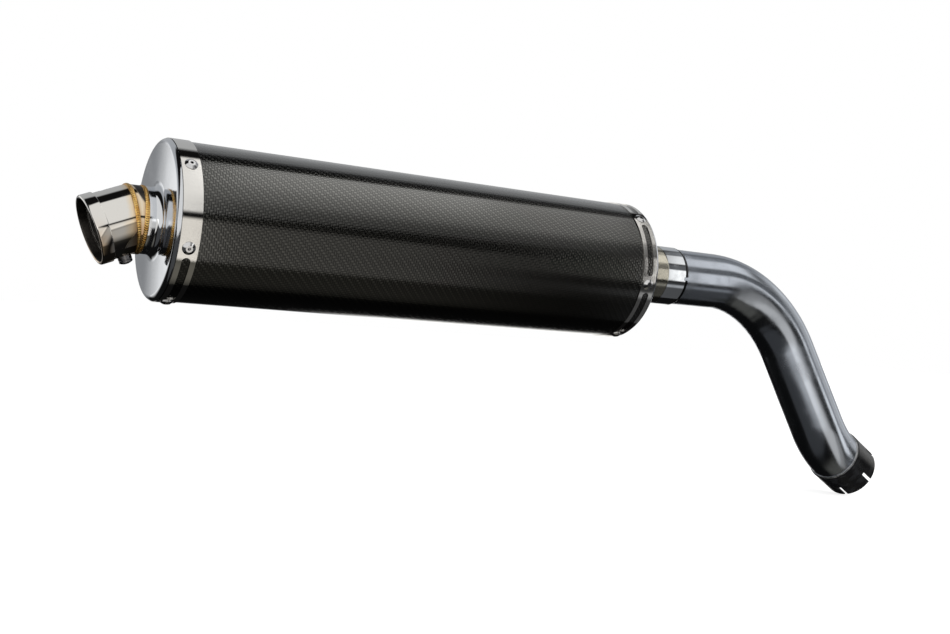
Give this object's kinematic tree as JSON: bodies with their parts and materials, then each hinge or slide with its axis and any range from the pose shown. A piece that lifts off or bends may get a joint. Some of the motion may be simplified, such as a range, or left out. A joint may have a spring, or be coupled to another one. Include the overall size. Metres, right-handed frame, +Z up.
{
  "type": "exhaust muffler",
  "caption": "Round carbon-sleeved slip-on silencer with riveted end bands, a mitred outlet tip with removable baffle, and a bent link pipe ending in a slotted clamp socket.",
  "frame": {"origin": "centre of the mouth of the header socket, where the header pipe goes in", "axes": "+X along the can from its outlet to its inlet, +Z up, +Y to the side that faces away from the slotted face of the can"},
  "size_m": [0.7737, 0.1218, 0.2595],
  "materials": {
    "polished_steel": "mirror polished stainless steel",
    "brushed_band": "polished stainless sheet",
    "satin_steel": "satin brushed stainless steel, faintly straw coloured",
    "carbon": "twill carbon fibre under clear lacquer",
    "weld_gold": "heat tinted TIG weld bead",
    "weld_steel": "TIG weld bead",
    "rivet_steel": "polished stainless rivet",
    "screw_steel": "dark stainless screw",
    "baffle_steel": "dull stainless steel darkened by heat",
    "link_steel": "polished stainless tube with dark blue-grey reflections",
    "socket_black": "satin black",
    "core_steel": "plain perforated stainless sheet",
    "steel_wool": "steel wool",
    "glass_wool": "glass wool"
  },
  "bodies": {
    "link_pipe": {"link_pipe": "link_steel", "header_socket": "socket_black", "socket_weld": "weld_steel"},
    "silencer": {"rear_cap": "polished_steel", "tip_elbow": "polished_steel", "tip_tube": "polished_steel", "tip_end_ring": "polished_steel", "neck_weld": "weld_gold", "mitre_weld": "weld_gold", "screw_boss": "screw_steel", "rear_band": "brushed_band", "rear_rivets": "rivet_steel", "carbon_sleeve": "carbon", "core_slip_ring": "core_steel", "perforated_core": "core_steel", "steel_wool_wrap": "steel_wool", "glass_wool_packing": "glass_wool", "front_cap": "polished_steel", "front_band": "brushed_band", "front_rivets": "rivet_steel", "inlet_stub": "satin_steel", "inlet_collar": "polished_steel"},
    "baffle": {"baffle_flange": "baffle_steel", "baffle_tube": "baffle_steel", "baffle_end_plate": "baffle_steel"},
    "baffle_screw": {"baffle_screw": "screw_steel"}
  },
  "joints": [
    {"name": "pipe_swivel", "type": "hinge", "parent": "link_pipe", "child": "silencer", "pos_m": [-0.2377, 0.02711, 0.17464], "axis": [1, 0, 0], "continuous": true},
    {"name": "baffle_slide", "type": "slide", "parent": "silencer", "child": "baffle", "axis": [-0.9239, 0, -0.3827], "range_m": [0, 0.06]},
    {"name": "baffle_screw_travel", "type": "slide", "parent": "silencer", "child": "baffle_screw", "axis": [0.3827, 0, -0.9239], "range_m": [0, 0.006]}
  ]
}
